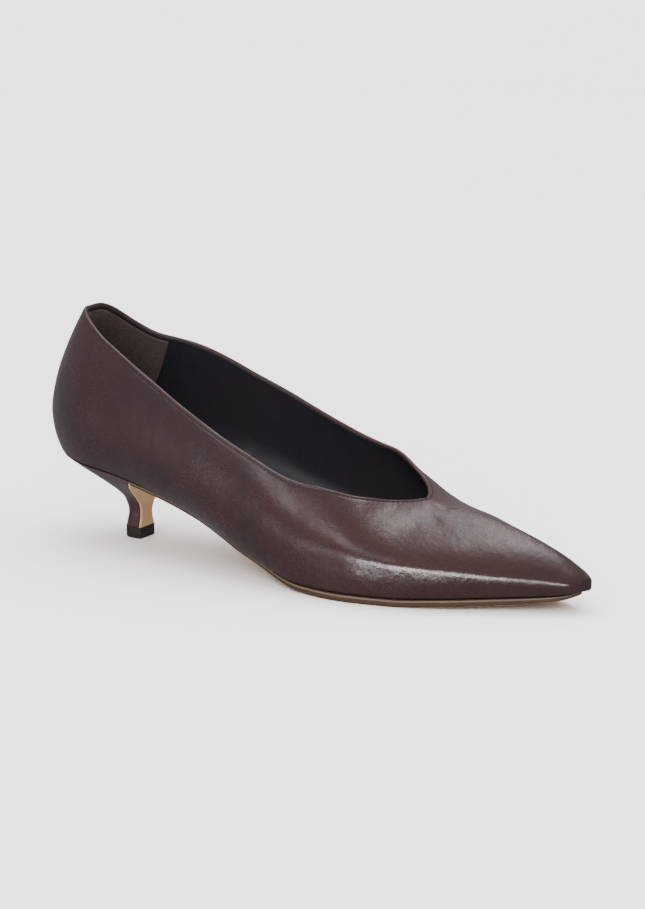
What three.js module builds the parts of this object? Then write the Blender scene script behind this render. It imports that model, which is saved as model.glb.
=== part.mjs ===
// Right shoe of a pair of court shoes: a one-piece leather upper with a long pointed toe and a
// pointed throat, on a thin leather sole that turns down the breast of a small curved heel.
// Millimetres. While it is built, x runs from the back of the heel to the toe tip, y to the
// inner side of the foot and z up from the floor. The group is centred over its box at the end.
import * as THREE from 'three';

// Driving sizes of the last
const shoeLength = 262;
const ballWidth = 80;
const heelWidth = 55;
const seatHeight = 37;
const backHeight = 62;
const throatHeight = 35.5;
const throatAt = 186;
const toeSpring = 5.6;

// Rounds in plan at the back and at the toe, and the profile of the back
const heelRound = 30;
const toeRound = 7;
const backFullness = 18;
const backTuck = 4.5;
const backLean = 16;
const backReach = 70;

// Leather, insole and sole
const upperWall = 1.8;
const insoleThickness = 2.6;
const soleThickness = 3.2;
const breastThickness = 1.2;
const seam = 0.3;

// Heel and its top lift
const breastTopAt = 53;
const liftHeight = 5;
const liftLength = 10;
const liftWidth = 10.6;
const liftAt = 39.6;
const liftSplay = 0.2;

// Outline of the last in plan, from the back (at 0) to the toe tip (at 1), in shares of the
// girth there. sole: half widths at the feather edge. side: half widths at the widest place.
// ridge: how far the top line lies towards the inner side.
const PLAN = [
  { at: 0.00, soleOuter: 0.38, soleInner: 0.38, sideOuter: 0.45, sideInner: 0.49, ridge: 0.000 },
  { at: 0.06, soleOuter: 0.42, soleInner: 0.41, sideOuter: 0.48, sideInner: 0.47, ridge: 0.000 },
  { at: 0.13, soleOuter: 0.46, soleInner: 0.44, sideOuter: 0.54, sideInner: 0.46, ridge: 0.000 },
  { at: 0.22, soleOuter: 0.46, soleInner: 0.39, sideOuter: 0.57, sideInner: 0.50, ridge: 0.008 },
  { at: 0.33, soleOuter: 0.42, soleInner: 0.26, sideOuter: 0.55, sideInner: 0.49, ridge: 0.025 },
  { at: 0.45, soleOuter: 0.45, soleInner: 0.26, sideOuter: 0.52, sideInner: 0.47, ridge: 0.037 },
  { at: 0.57, soleOuter: 0.50, soleInner: 0.36, sideOuter: 0.52, sideInner: 0.49, ridge: 0.033 },
  { at: 0.64, soleOuter: 0.51, soleInner: 0.40, sideOuter: 0.52, sideInner: 0.48, ridge: -0.010 },
  { at: 0.72, soleOuter: 0.46, soleInner: 0.37, sideOuter: 0.48, sideInner: 0.43, ridge: -0.020 },
  { at: 0.80, soleOuter: 0.36, soleInner: 0.30, sideOuter: 0.39, sideInner: 0.33, ridge: -0.006 },
  { at: 0.88, soleOuter: 0.22, soleInner: 0.20, sideOuter: 0.26, sideInner: 0.21, ridge: 0.004 },
  { at: 0.95, soleOuter: 0.11, soleInner: 0.11, sideOuter: 0.14, sideInner: 0.13, ridge: 0.002 },
  { at: 1.00, soleOuter: 0.05, soleInner: 0.05, sideOuter: 0.07, sideInner: 0.07, ridge: 0.000 },
];

// Profile of the last over the same length. lift: share of the climb to the seat. spring: share
// of the toe spring. full and top: heights of the widest place and of the closed last, in shares
// of the height there.
const PROFILE = [
  { at: 0.00, lift: 1.00, spring: 0.00, full: 0.32, top: 1.18 },
  { at: 0.06, lift: 0.98, spring: 0.00, full: 0.31, top: 1.17 },
  { at: 0.13, lift: 0.93, spring: 0.00, full: 0.30, top: 1.18 },
  { at: 0.22, lift: 0.81, spring: 0.00, full: 0.33, top: 1.27 },
  { at: 0.33, lift: 0.54, spring: 0.00, full: 0.37, top: 1.49 },
  { at: 0.45, lift: 0.21, spring: 0.00, full: 0.43, top: 1.69 },
  { at: 0.57, lift: 0.01, spring: 0.00, full: 0.43, top: 1.59 },
  { at: 0.64, lift: 0.00, spring: 0.00, full: 0.43, top: 1.27 },
  { at: 0.68, lift: 0.00, spring: 0.00, full: 0.41, top: 1.07 },
  { at: 0.72, lift: 0.00, spring: 0.00, full: 0.39, top: 0.94 },
  { at: 0.80, lift: 0.00, spring: 0.16, full: 0.33, top: 0.83 },
  { at: 0.88, lift: 0.00, spring: 0.34, full: 0.25, top: 0.66 },
  { at: 0.95, lift: 0.00, spring: 0.58, full: 0.17, top: 0.43 },
  { at: 1.00, lift: 0.00, spring: 1.00, full: 0.09, top: 0.14 },
];

// Sections of the last over the same length. shoulder: how far the sides stay upright, in shares
// of the height left above the widest place. browOuter and browInner: how far out from the top
// line the two halves stay nearly level, in shares of the half width.
const SECTION = [
  { at: 0.00, shoulder: 0.50, browOuter: 0.56, browInner: 0.56 },
  { at: 0.06, shoulder: 0.47, browOuter: 0.52, browInner: 0.52 },
  { at: 0.13, shoulder: 0.45, browOuter: 0.51, browInner: 0.51 },
  { at: 0.22, shoulder: 0.48, browOuter: 0.51, browInner: 0.51 },
  { at: 0.33, shoulder: 0.50, browOuter: 0.54, browInner: 0.54 },
  { at: 0.45, shoulder: 0.50, browOuter: 0.53, browInner: 0.55 },
  { at: 0.57, shoulder: 0.46, browOuter: 0.49, browInner: 0.82 },
  { at: 0.64, shoulder: 0.43, browOuter: 0.46, browInner: 0.76 },
  { at: 0.68, shoulder: 0.42, browOuter: 0.46, browInner: 0.78 },
  { at: 0.72, shoulder: 0.40, browOuter: 0.43, browInner: 0.76 },
  { at: 0.80, shoulder: 0.36, browOuter: 0.41, browInner: 0.57 },
  { at: 0.88, shoulder: 0.35, browOuter: 0.39, browInner: 0.28 },
  { at: 0.95, shoulder: 0.36, browOuter: 0.40, browInner: 0.32 },
  { at: 1.00, shoulder: 0.39, browOuter: 0.44, browInner: 0.40 },
];

// Topline, from the back (at 0) to the point of the throat (at 1): how much of each section,
// from the feather edge up to the top of the closed last, the leather covers.
const TOPLINE = [
  { at: 0.00, outer: 0.85, inner: 0.85 },
  { at: 0.05, outer: 0.80, inner: 0.78 },
  { at: 0.13, outer: 0.73, inner: 0.68 },
  { at: 0.20, outer: 0.67, inner: 0.64 },
  { at: 0.33, outer: 0.57, inner: 0.61 },
  { at: 0.46, outer: 0.51, inner: 0.59 },
  { at: 0.58, outer: 0.49, inner: 0.60 },
  { at: 0.70, outer: 0.50, inner: 0.62 },
  { at: 0.82, outer: 0.55, inner: 0.62 },
  { at: 0.89, outer: 0.63, inner: 0.66 },
  { at: 0.94, outer: 0.74, inner: 0.73 },
  { at: 0.98, outer: 0.88, inner: 0.87 },
  { at: 1.00, outer: 1.00, inner: 1.00 },
];

// Sole, from the breast (at 0) to the toe tip (at 1), in shares of its thickness: how far its
// edge stands out from the feather edge, how thick it is, and how full it is along the middle.
const SOLE = [
  { at: 0.00, edge: 0.00, thick: 0.50, middle: 0.10 },
  { at: 0.15, edge: -0.55, thick: 0.50, middle: 0.45 },
  { at: 0.32, edge: -0.45, thick: 0.55, middle: 0.40 },
  { at: 0.46, edge: 0.00, thick: 0.92, middle: 0.05 },
  { at: 0.52, edge: 0.06, thick: 1.00, middle: 0.00 },
  { at: 0.70, edge: 0.06, thick: 1.00, middle: 0.00 },
  { at: 0.88, edge: 0.00, thick: 0.90, middle: 0.00 },
  { at: 0.95, edge: -0.20, thick: 0.65, middle: 0.00 },
  { at: 1.00, edge: -1.40, thick: 0.30, middle: 0.00 },
];

// Heel, from its seat (at 0) to the top lift (at 1): how far its back and its breast have come
// forward and how far its sides have drawn in, in shares of the whole way.
const HEEL = [
  { at: 0.00, back: 0.00, breast: 0.00, sides: 0.00 },
  { at: 0.12, back: 0.19, breast: 0.30, sides: 0.18 },
  { at: 0.25, back: 0.40, breast: 0.56, sides: 0.42 },
  { at: 0.37, back: 0.60, breast: 0.74, sides: 0.64 },
  { at: 0.50, back: 0.81, breast: 0.89, sides: 0.87 },
  { at: 0.62, back: 0.95, breast: 0.98, sides: 1.02 },
  { at: 0.78, back: 1.03, breast: 1.01, sides: 1.07 },
  { at: 1.00, back: 1.00, breast: 1.00, sides: 1.00 },
];

// How finely the surfaces are cut
const heelRoundSteps = 9;
const seatSteps = 3;
const quarterSteps = 22;
const throatCrowding = 1.5;
const vampSteps = 10;
const toeRoundSteps = 5;
const wallRows = 12;
const heelRows = 12;
const soleAcross = 6;
const liftArcSteps = 12;

const { lerp, clamp, smoothstep } = THREE.MathUtils;

// Smooth value of one column at a place between the rows of a table. Level stretches stay level,
// and a stretch that only rises or only falls keeps to it.
function column(rows, name, at) {
  const slope = (i) => (rows[i + 1][name] - rows[i][name]) / (rows[i + 1].at - rows[i].at);
  const slopeAtRow = (i) => {
    const before = slope(Math.max(i - 1, 0));
    const after = slope(Math.min(i, rows.length - 2));
    if (before * after < 0) return (before + after) / 2;
    return before === after ? before : (2 * before * after) / (before + after);
  };
  const place = clamp(at, 0, 1);
  const i = Math.max(0, rows.findIndex((row) => row.at >= place) - 1);
  const width = rows[i + 1].at - rows[i].at;
  const t = (place - rows[i].at) / width;
  const fromStart = (2 * t - 3) * t * t + 1;
  const leaving = t * (1 - t) * (1 - t) * width * slopeAtRow(i);
  const arriving = t * t * (t - 1) * width * slopeAtRow(i + 1);
  return fromStart * rows[i][name] + (1 - fromStart) * rows[i + 1][name] + leaving + arriving;
}

// Girth and height that the shares follow: those of the heel at the back, of the ball in front.
const waist = { from: 0.15, to: 0.6 };
const towardsBall = (at) => smoothstep(at, waist.from, waist.to);
const girthAt = (at) => lerp(heelWidth, ballWidth, towardsBall(at));
const heightAt = (at) => lerp(backHeight, throatHeight, towardsBall(at));

// Height over the floor of the feather edge, where upper, insole and sole meet.
function featherHeight(x) {
  const at = x / shoeLength;
  const lowest = soleThickness + seam;
  const climb = column(PROFILE, 'lift', at) * (seatHeight - lowest);
  return lowest + climb + column(PROFILE, 'spring', at) * toeSpring;
}

// Sections of the last from back to toe. open is how far the round ends have closed there.
function stationList() {
  const list = [];
  const stretch = (from, to, steps, vamp, crowding = 1) => {
    for (let i = 0; i < steps; i++) {
      const t = 1 - (1 - i / steps) ** crowding;
      list.push({ x: lerp(from, to, t), open: 1, vamp });
    }
  };
  for (let i = 0; i < heelRoundSteps; i++) {
    const turn = ((i / heelRoundSteps) * Math.PI) / 2;
    list.push({ x: heelRound * (1 - Math.cos(turn)), open: Math.sin(turn), vamp: false });
  }
  stretch(heelRound, breastTopAt, seatSteps, false);
  stretch(breastTopAt, throatAt, quarterSteps, false, throatCrowding);
  stretch(throatAt, shoeLength - toeRound, vampSteps, true);
  for (let i = 0; i <= toeRoundSteps; i++) {
    const turn = ((i / toeRoundSteps) * Math.PI) / 2;
    const open = i === toeRoundSteps ? 0 : Math.cos(turn);
    list.push({ x: shoeLength - toeRound * (1 - Math.sin(turn)), open, vamp: true });
  }
  return list;
}
const stations = stationList();
const breastStation = heelRoundSteps + seatSteps;

// How far the back stands forward of its fullest place, at a height over the feather edge.
function backProfile(height) {
  const below = Math.max(0, 1 - height / backFullness);
  const above = Math.max(0, (height - backFullness) / (backHeight - backFullness));
  const leanPower = 1.5;
  return backTuck * below ** 2 + backLean * above ** leanPower;
}

// One side of a section of the closed last, from the feather edge to the top line.
function sectionCurve(station, side) {
  const at = station.x / shoeLength;
  const name = side < 0 ? 'Outer' : 'Inner';
  const girth = girthAt(at) * station.open;
  const height = heightAt(at);
  const sole = side * column(PLAN, 'sole' + name, at) * girth;
  const wide = side * column(PLAN, 'side' + name, at) * girth;
  const ridge = column(PLAN, 'ridge', at) * girth;
  const full = column(PROFILE, 'full', at) * height;
  const top = column(PROFILE, 'top', at) * height;
  const shoulder = lerp(full, top, column(SECTION, 'shoulder', at));
  const brow = column(SECTION, 'brow' + name, at) * (wide - ridge);
  const flare = 0.4;
  const browFall = 0.15;
  const point = (y, z) => new THREE.Vector2(y, z);
  const path = new THREE.CurvePath();
  path.add(new THREE.QuadraticBezierCurve(point(sole, 0), point(wide, flare * full), point(wide, full)));
  path.add(
    new THREE.CubicBezierCurve(
      point(wide, full),
      point(wide, shoulder),
      point(ridge + brow, top - browFall * Math.abs(brow)),
      point(ridge, top),
    ),
  );
  return path;
}

// Points of the upper's outer face on one side of a station, from the feather edge upwards.
function wallColumn(station, side) {
  const curve = sectionCurve(station, side);
  const name = side < 0 ? 'outer' : 'inner';
  const cover = station.vamp ? 1 : column(TOPLINE, name, station.x / throatAt);
  const fade = Math.max(0, 1 - station.x / backReach) ** 2;
  const footZ = featherHeight(station.x + backProfile(0) * fade);
  return Array.from({ length: wallRows + 1 }, (_, row) => {
    const place = curve.getPointAt((row / wallRows) * cover);
    return new THREE.Vector3(station.x + backProfile(place.y) * fade, place.x, footZ + place.y);
  });
}

// A surface under construction. Points that coincide are one point, and empty faces are left out.
class Surface {
  points = [];
  triangles = [];
  known = new Map();

  add(point) {
    const weld = 0.0005;
    const key = point.toArray().map((v) => Math.round(v / weld) + 0).join();
    if (!this.known.has(key)) {
      this.known.set(key, this.points.length);
      this.points.push(point.clone());
    }
    return this.known.get(key);
  }

  triangle(a, b, c) {
    if (a !== b && b !== c && c !== a) this.triangles.push([a, b, c]);
  }

  quad(a, b, c, d) {
    this.triangle(a, b, c);
    this.triangle(a, c, d);
  }

  sheet(rows, turned) {
    for (let i = 0; i + 1 < rows.length; i++)
      for (let j = 0; j + 1 < rows[i].length; j++) {
        const corners = [rows[i][j], rows[i + 1][j], rows[i + 1][j + 1], rows[i][j + 1]];
        this.quad(...(turned ? corners.reverse() : corners));
      }
  }

  geometry() {
    const geometry = new THREE.BufferGeometry();
    const places = this.points.flatMap((p) => p.toArray());
    geometry.setAttribute('position', new THREE.Float32BufferAttribute(places, 3));
    geometry.setIndex(this.triangles.flat());
    geometry.computeVertexNormals();
    return geometry;
  }
}

// The upper's outer face: one open surface, joined at the back, along the vamp and at the toe.
const OUTER = -1;
const INNER = 1;
const skin = new Surface();
const skinRows = {};
for (const side of [OUTER, INNER]) {
  skinRows[side] = stations.map((station) => wallColumn(station, side).map((p) => skin.add(p)));
  skin.sheet(skinRows[side], side === INNER);
}
const skinNormals = skin.geometry().getAttribute('normal');

// A point of the skin, moved inwards by a distance.
function behindSkin(number, distance) {
  const normal = new THREE.Vector3().fromBufferAttribute(skinNormals, number);
  return skin.points[number].clone().addScaledVector(normal, -distance);
}

const footOf = (side, station) => skin.points[skinRows[side][station][0]];

// The leather behind the skin, closed along every free edge: the topline and the open bottom.
function upperGeometry() {
  const solid = new Surface();
  const outer = skin.points.map((p) => solid.add(p));
  const inner = skin.points.map((_, number) => solid.add(behindSkin(number, upperWall)));
  const edges = new Set();
  for (const [a, b, c] of skin.triangles) {
    solid.triangle(outer[a], outer[b], outer[c]);
    solid.triangle(inner[a], inner[c], inner[b]);
    for (const edge of [`${a},${b}`, `${b},${c}`, `${c},${a}`]) edges.add(edge);
  }
  for (const edge of edges) {
    const [a, b] = edge.split(',').map(Number);
    if (!edges.has(`${b},${a}`)) solid.quad(outer[a], inner[a], inner[b], outer[b]);
  }
  return solid.geometry();
}

// A solid through rings of points. Each ring runs counterclockwise seen from the ring after it:
// its first half lies across from its second half, and the end rings are closed across.
function loftGeometry(rings) {
  const solid = new Surface();
  const rows = rings.map((ring) => ring.map((p) => solid.add(p)));
  solid.sheet(rows.map((row) => [...row, row[0]]), true);
  const close = (row, turned) => {
    const near = row.slice(0, row.length / 2);
    const far = row.slice(row.length / 2).reverse();
    solid.sheet([near, far], !turned);
  };
  close(rows[0], true);
  close(rows.at(-1), false);
  return solid.geometry();
}

// Edge of the insole at a station: up along the inside of the upper, with its clearance, and
// straight below the place where the upper's wall begins.
function insoleEdge(side, station) {
  const line = skinRows[side][station].map((number) => behindSkin(number, upperWall + seam));
  const heightOf = (p) => p.z - featherHeight(p.x);
  const atHeight = (point, height) => point.clone().setZ(featherHeight(point.x) + height);
  const next = line.findIndex((p) => heightOf(p) > insoleThickness);
  const begin = atHeight(line[0], clamp(heightOf(line[0]), 0, insoleThickness));
  if (next === 0) return [atHeight(line[0], 0), begin, atHeight(line[0], insoleThickness)];
  const [low, high] = [line[next - 1], line[next]];
  const t = (insoleThickness - heightOf(low)) / (heightOf(high) - heightOf(low));
  return [atHeight(line[0], 0), begin, atHeight(low.clone().lerp(high, t), insoleThickness)];
}

// Insole: lies on the sole and the heel seat inside the upper, level from side to side.
function insoleGeometry() {
  const rings = stations.map((_, station) => [
    ...insoleEdge(OUTER, station).slice(0, 1),
    ...insoleEdge(INNER, station),
    ...insoleEdge(OUTER, station).slice(1).reverse(),
  ]);
  return loftGeometry(rings);
}

// The heel's outline in plan at the top lift, from the back centre (0) to the breast (1).
const liftBack = liftAt - liftLength / 2;
const liftFront = liftAt + liftLength / 2;
function heelFoot(side, share) {
  const radius = liftWidth / 2 - liftSplay;
  const back = liftBack + liftSplay;
  const straight = liftFront - breastThickness - seam - back - radius;
  const arc = (radius * Math.PI) / 2;
  const along = share * (arc + straight);
  const turn = Math.min(along, arc) / radius;
  const x = back + radius * (1 - Math.cos(turn)) + Math.max(0, along - arc);
  return new THREE.Vector3(x, side * radius * Math.sin(turn), liftHeight);
}

// How far round the seat each station lies, from the back centre (0) to the breast (1).
function seatShares(side) {
  const lengths = [0];
  for (let i = 1; i <= breastStation; i++) {
    lengths.push(lengths[i - 1] + footOf(side, i).distanceTo(footOf(side, i - 1)));
  }
  return lengths.map((length) => length / lengths.at(-1));
}
const seatShare = { [OUTER]: seatShares(OUTER), [INNER]: seatShares(INNER) };

// A point of the heel's cover, below a station of the seat and a share of the way down.
function heelPoint(side, station, down) {
  const share = seatShare[side][station];
  const seat = footOf(side, station);
  const foot = heelFoot(side, share);
  const forward = lerp(column(HEEL, 'back', down), column(HEEL, 'breast', down), share);
  const x = lerp(seat.x, foot.x, forward);
  const y = lerp(seat.y, foot.y, column(HEEL, 'sides', down));
  return new THREE.Vector3(x, y, lerp(seat.z - seam, foot.z, down));
}

function heelGeometry() {
  const round = [...Array(breastStation + 1).keys()];
  const rings = Array.from({ length: heelRows + 1 }, (_, row) => [
    ...round.toReversed().map((station) => heelPoint(OUTER, station, row / heelRows)),
    ...round.map((station) => heelPoint(INNER, station, row / heelRows)),
  ]);
  return loftGeometry(rings);
}

// Top lift: a plate under the heel and the end of the breast, straight in front, round behind.
function liftGeometry() {
  const radius = liftWidth / 2;
  const outline = new THREE.Shape();
  outline.moveTo(liftFront, -radius);
  outline.lineTo(liftFront, radius);
  outline.lineTo(liftBack + radius, radius);
  outline.absarc(liftBack + radius, 0, radius, Math.PI / 2, (3 * Math.PI) / 2, false);
  return new THREE.ExtrudeGeometry(outline, {
    depth: liftHeight,
    curveSegments: liftArcSteps,
    bevelEnabled: false,
  });
}

// Sole as rows across it, from the top lift up the breast and on to the toe tip. A row has its
// two edges on the upper side, its thickness, its fullness and the way that it faces.
function soleRows() {
  const rows = [];
  for (let row = heelRows; row >= 0; row--) {
    const [outer, inner] = [OUTER, INNER].map((side) => {
      const point = heelPoint(side, breastStation, row / heelRows);
      return point.setX(point.x + seam);
    });
    rows.push({ outer, inner, thick: breastThickness, middle: 0 });
  }
  const breast = rows.length;
  for (let station = breastStation + 1; station < stations.length; station++) {
    const at = (stations[station].x - breastTopAt) / (shoeLength - breastTopAt);
    const outset = column(SOLE, 'edge', at) * soleThickness;
    const [outer, inner] = [OUTER, INNER].map((side) => {
      const edge = footOf(side, station).clone();
      edge.addScaledVector(featherOutward(side, station), outset);
      return edge.setZ(featherHeight(edge.x) - seam);
    });
    const thick = column(SOLE, 'thick', at) * soleThickness;
    rows.push({ outer, inner, thick, middle: column(SOLE, 'middle', at) * soleThickness });
  }
  rows.forEach((row, i) => {
    row.facing = i < breast ? rowFacing(rows, i) : new THREE.Vector3(0, 0, -1);
  });
  return rows;
}

// Level direction in which the feather edge faces at a station.
function featherOutward(side, station) {
  const last = stations.length - 1;
  if (station === last) return new THREE.Vector3(1, 0, 0);
  const along = footOf(side, station + 1).clone().sub(footOf(side, station - 1));
  return new THREE.Vector3(-side * along.y, side * along.x, 0).normalize();
}

// Direction away from the upper side of a row, lengthened where the sole turns there.
function rowFacing(rows, i) {
  const facing = (from, to) => {
    const along = rows[to].outer.clone().sub(rows[from].outer);
    return new THREE.Vector3(along.z, 0, -along.x).normalize();
  };
  if (i === 0) return facing(0, 1);
  const [before, after] = [facing(i - 1, i), facing(i, i + 1)];
  const middle = before.clone().add(after).normalize();
  return middle.divideScalar(middle.dot(before));
}

function outsoleGeometry() {
  const shares = Array.from({ length: soleAcross + 1 }, (_, j) => j / soleAcross);
  const rings = soleRows().map(({ outer, inner, thick, middle, facing }) => {
    const upperSide = shares.map((share) => outer.clone().lerp(inner, share));
    const underside = upperSide.map((point, j) => {
      const belly = middle * (1 - (2 * shares[j] - 1) ** 2);
      return point.clone().addScaledVector(facing, thick + belly);
    });
    return [...underside, ...upperSide.reverse()];
  });
  return loftGeometry(rings);
}

// Materials
const burgundyLeather = { color: 0x4b3033, roughness: 0.4, metalness: 0 };
const blackSock = { color: 0x1d1e22, roughness: 0.5, metalness: 0 };
const tanLeather = { color: 0xb98d63, roughness: 0.55, metalness: 0 };
const blackRubber = { color: 0x211c1c, roughness: 0.6, metalness: 0 };

const shoe = new THREE.Group();
const addPiece = (name, geometry, look) => {
  const piece = new THREE.Mesh(geometry, new THREE.MeshStandardMaterial(look));
  piece.name = name;
  shoe.add(piece);
};
addPiece('upper', upperGeometry(), burgundyLeather);
addPiece('insole', insoleGeometry(), blackSock);
addPiece('outsole', outsoleGeometry(), tanLeather);
addPiece('heel', heelGeometry(), burgundyLeather);
addPiece('top_lift', liftGeometry(), blackRubber);

const middle = new THREE.Box3().setFromObject(shoe).getCenter(new THREE.Vector3());
shoe.position.set(-middle.x, -middle.y, 0);

export default shoe;
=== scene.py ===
"""Looks of a right court shoe: burgundy leather, black lining, thin leather sole, small heel."""

import math

import bpy
import numpy as np
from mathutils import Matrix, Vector, noise
from mathutils.bvhtree import BVHTree


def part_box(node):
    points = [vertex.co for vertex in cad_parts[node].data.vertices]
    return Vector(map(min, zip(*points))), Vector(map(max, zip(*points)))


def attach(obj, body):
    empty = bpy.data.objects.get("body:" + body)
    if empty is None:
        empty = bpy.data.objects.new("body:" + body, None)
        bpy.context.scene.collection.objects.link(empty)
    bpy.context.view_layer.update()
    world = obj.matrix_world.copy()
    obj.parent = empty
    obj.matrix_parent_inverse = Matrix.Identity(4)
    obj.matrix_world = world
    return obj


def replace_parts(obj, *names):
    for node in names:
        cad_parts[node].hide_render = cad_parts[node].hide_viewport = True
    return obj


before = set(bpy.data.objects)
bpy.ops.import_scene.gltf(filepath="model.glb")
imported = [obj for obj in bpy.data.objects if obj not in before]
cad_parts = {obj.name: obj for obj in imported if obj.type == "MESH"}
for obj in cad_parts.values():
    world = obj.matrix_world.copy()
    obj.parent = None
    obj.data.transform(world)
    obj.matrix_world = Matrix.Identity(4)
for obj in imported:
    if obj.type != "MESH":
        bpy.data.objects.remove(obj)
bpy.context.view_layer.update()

# Sizes of the last and of the pieces in millimetres, as the frame was built with. x runs from
# the back of the heel to the toe tip, y to the inner side and z up, until place() moves them.
LENGTH, BALL_WIDTH, HEEL_WIDTH = 262.0, 80.0, 55.0
SEAT_HEIGHT, BACK_HEIGHT, THROAT_HEIGHT, THROAT_AT, TOE_SPRING = 37.0, 62.0, 35.5, 186.0, 5.6
HEEL_ROUND, TOE_ROUND, NEAR_THROAT = 30.0, 7.0, 12.0
BACK_FULLNESS, BACK_TUCK, BACK_LEAN, BACK_REACH = 18.0, 4.5, 16.0, 70.0
WALL, INSOLE, SOLE_THICK, BREAST_THICK, SEAM = 1.8, 2.6, 3.2, 1.2, 0.3
BREAST_AT, LIFT_HEIGHT, LIFT_LENGTH, LIFT_WIDTH, LIFT_AT, SPLAY = 53.0, 5.0, 10.0, 10.6, 39.6, 0.2
LOWEST = SOLE_THICK + SEAM

# Rows: place along the last, then half widths of the feather edge (outer, inner) and of the
# widest place (outer, inner), and the way of the top line, in shares of the girth.
PLAN = np.array([
    [0.00, 0.38, 0.38, 0.45, 0.49, 0.000], [0.06, 0.42, 0.41, 0.48, 0.47, 0.000],
    [0.13, 0.46, 0.44, 0.54, 0.46, 0.000], [0.22, 0.46, 0.39, 0.57, 0.50, 0.008],
    [0.33, 0.42, 0.26, 0.55, 0.49, 0.025], [0.45, 0.45, 0.26, 0.52, 0.47, 0.037],
    [0.57, 0.50, 0.36, 0.52, 0.49, 0.033], [0.64, 0.51, 0.40, 0.52, 0.48, -0.010],
    [0.72, 0.46, 0.37, 0.48, 0.43, -0.020], [0.80, 0.36, 0.30, 0.39, 0.33, -0.006],
    [0.88, 0.22, 0.20, 0.26, 0.21, 0.004], [0.95, 0.11, 0.11, 0.14, 0.13, 0.002],
    [1.00, 0.05, 0.05, 0.07, 0.07, 0.000],
])
# Rows: place, climb to the seat, toe spring, height of the widest place and of the top in shares
# of the height there, how far a section stays upright and how far level (outer, inner).
PROFILE = np.array([
    [0.00, 1.00, 0.00, 0.32, 1.18, 0.50, 0.56, 0.56],
    [0.06, 0.98, 0.00, 0.31, 1.17, 0.47, 0.52, 0.52],
    [0.13, 0.93, 0.00, 0.30, 1.18, 0.45, 0.51, 0.51],
    [0.22, 0.81, 0.00, 0.33, 1.27, 0.48, 0.51, 0.51],
    [0.33, 0.54, 0.00, 0.37, 1.49, 0.50, 0.54, 0.54],
    [0.45, 0.21, 0.00, 0.43, 1.69, 0.50, 0.53, 0.55],
    [0.57, 0.01, 0.00, 0.43, 1.59, 0.46, 0.49, 0.82],
    [0.64, 0.00, 0.00, 0.43, 1.27, 0.43, 0.46, 0.76],
    [0.68, 0.00, 0.00, 0.41, 1.07, 0.42, 0.46, 0.78],
    [0.72, 0.00, 0.00, 0.39, 0.94, 0.40, 0.43, 0.76],
    [0.80, 0.00, 0.16, 0.33, 0.83, 0.36, 0.41, 0.57],
    [0.88, 0.00, 0.34, 0.25, 0.66, 0.35, 0.39, 0.28],
    [0.95, 0.00, 0.58, 0.17, 0.43, 0.36, 0.40, 0.32],
    [1.00, 0.00, 1.00, 0.09, 0.14, 0.39, 0.44, 0.40],
])
# Rows: place from the back to the throat, share of a section that is covered (outer, inner).
TOPLINE = np.array([
    [0.00, 0.85, 0.85], [0.05, 0.80, 0.78], [0.13, 0.73, 0.68], [0.20, 0.67, 0.64],
    [0.33, 0.57, 0.61], [0.46, 0.51, 0.59], [0.58, 0.49, 0.60], [0.70, 0.50, 0.62],
    [0.82, 0.55, 0.62], [0.89, 0.63, 0.66], [0.94, 0.74, 0.73], [0.98, 0.88, 0.87],
    [1.00, 1.00, 1.00],
])
# Rows: place from the breast to the toe, how far the edge stands out, thickness and fullness.
SOLE = np.array([
    [0.00, 0.00, 0.50, 0.10], [0.15, -0.55, 0.50, 0.45], [0.32, -0.45, 0.55, 0.40],
    [0.46, 0.00, 0.92, 0.05], [0.52, 0.06, 1.00, 0.00], [0.70, 0.06, 1.00, 0.00],
    [0.88, 0.00, 0.90, 0.00], [0.95, -0.20, 0.65, 0.00], [1.00, -1.40, 0.30, 0.00],
])
# Rows: place down the heel, how far back, breast and sides have come in.
HEEL = np.array([
    [0.00, 0.00, 0.00, 0.00], [0.12, 0.19, 0.30, 0.18], [0.25, 0.40, 0.56, 0.42],
    [0.37, 0.60, 0.74, 0.64], [0.50, 0.81, 0.89, 0.87], [0.62, 0.95, 0.98, 1.02],
    [0.78, 1.03, 1.01, 1.07], [1.00, 1.00, 1.00, 1.00],
])
OUTER, INNER = -1, 1


def column(table, number, at):
    """Smooth value of a column, level where the rows are level and never past them."""
    at = np.clip(at, 0, 1)
    places, values = table[:, 0], table[:, number]
    rise = np.diff(values) / np.diff(places)
    slope = np.concatenate([rise[:1], rise, rise[-1:]])
    before, after = slope[:-1], slope[1:]
    total = np.where(before + after == 0, 1, before + after)
    slope = np.where(before * after < 0, (before + after) / 2, 2 * before * after / total)
    slope = np.where(before == after, before, slope)
    i = np.clip(np.searchsorted(places, at, side="left") - 1, 0, len(places) - 2)
    width = places[i + 1] - places[i]
    t = (at - places[i]) / width
    start = (2 * t - 3) * t * t + 1
    leaving = t * (1 - t) ** 2 * width * slope[i]
    arriving = t * t * (t - 1) * width * slope[i + 1]
    return start * values[i] + (1 - start) * values[i + 1] + leaving + arriving


def ease(value, low=0.0, high=1.0):
    """From 0 at low to 1 at high, level at both ends."""
    t = np.clip((value - low) / (high - low), 0, 1)
    return t * t * (3 - 2 * t)


def feather_height(x):
    """Height of the feather edge, where the upper meets the sole, at a place along the last."""
    at = np.asarray(x, float) / LENGTH
    climb = column(PROFILE, 1, at) * (SEAT_HEIGHT - LOWEST)
    return LOWEST + climb + column(PROFILE, 2, at) * TOE_SPRING


def back_profile(height):
    """How far the back of the heel stands forward of its fullest place, by height on the last."""
    below = np.clip(1 - height / BACK_FULLNESS, 0, None)
    above = np.clip((height - BACK_FULLNESS) / (BACK_HEIGHT - BACK_FULLNESS), 0, None)
    return BACK_TUCK * below**2 + BACK_LEAN * above**1.5


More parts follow.
